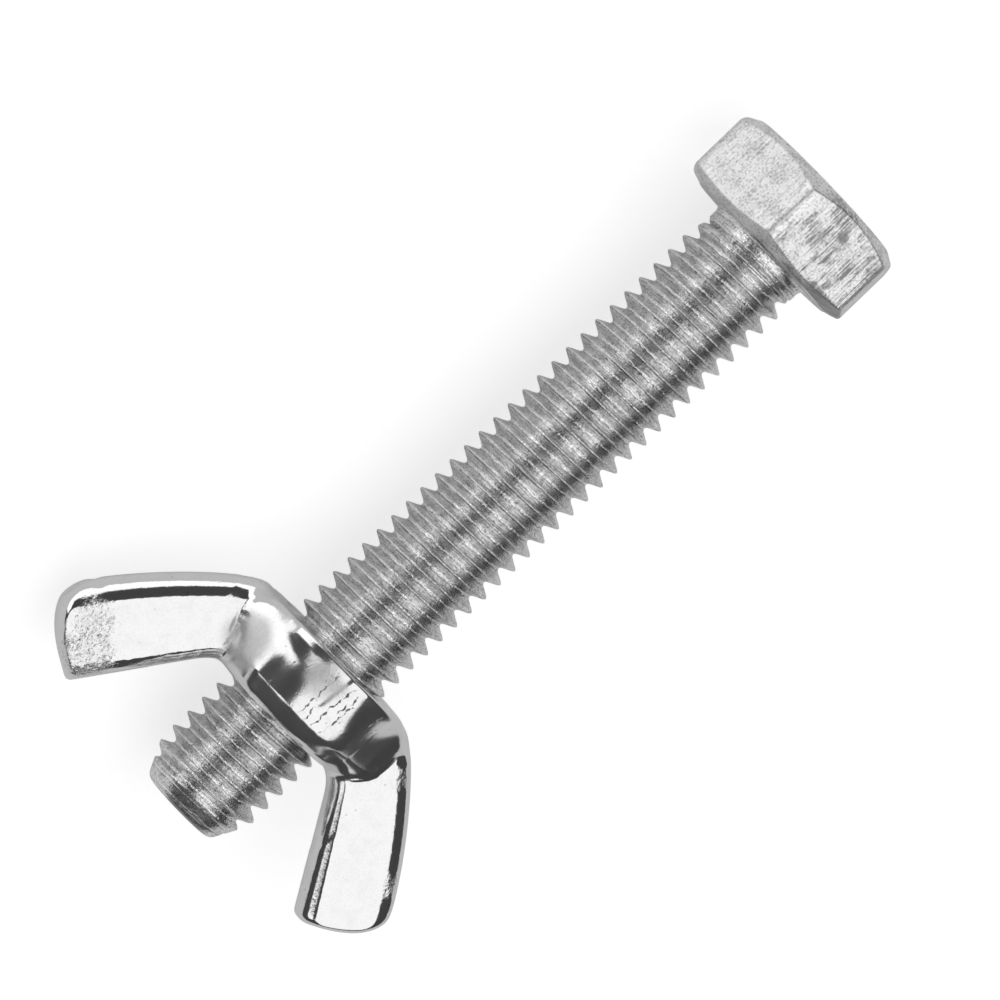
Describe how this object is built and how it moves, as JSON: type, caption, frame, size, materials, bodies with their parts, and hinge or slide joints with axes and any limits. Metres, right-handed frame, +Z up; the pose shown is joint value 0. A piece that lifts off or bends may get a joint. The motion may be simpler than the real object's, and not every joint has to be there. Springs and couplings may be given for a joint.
{
  "type": "hex bolt with wing nut",
  "caption": "Fully threaded hexagon head bolt with a forged square-winged wing nut run on near its tip, for clamping by hand.",
  "frame": {"origin": "on the surface that the bolt lies on, under the middle of the bolt's length and its axis", "axes": "+X along the bolt from its head to its tip, +Z up from the surface, +Y along the wing that stands higher"},
  "size_m": [0.0554, 0.0295, 0.0128],
  "materials": {
    "satin_zinc": "satin zinc plate with fine draw lines",
    "bright_zinc": "bright zinc plate over a forged skin"
  },
  "bodies": {
    "bolt": {"hex_bolt": "satin_zinc"},
    "nut": {"wing_nut": "bright_zinc"}
  },
  "joints": [
    {"name": "nut_travel", "type": "slide", "parent": "bolt", "child": "nut", "axis": [1, 0, 0], "range_m": [-0.03375, 0.0125]}
  ]
}
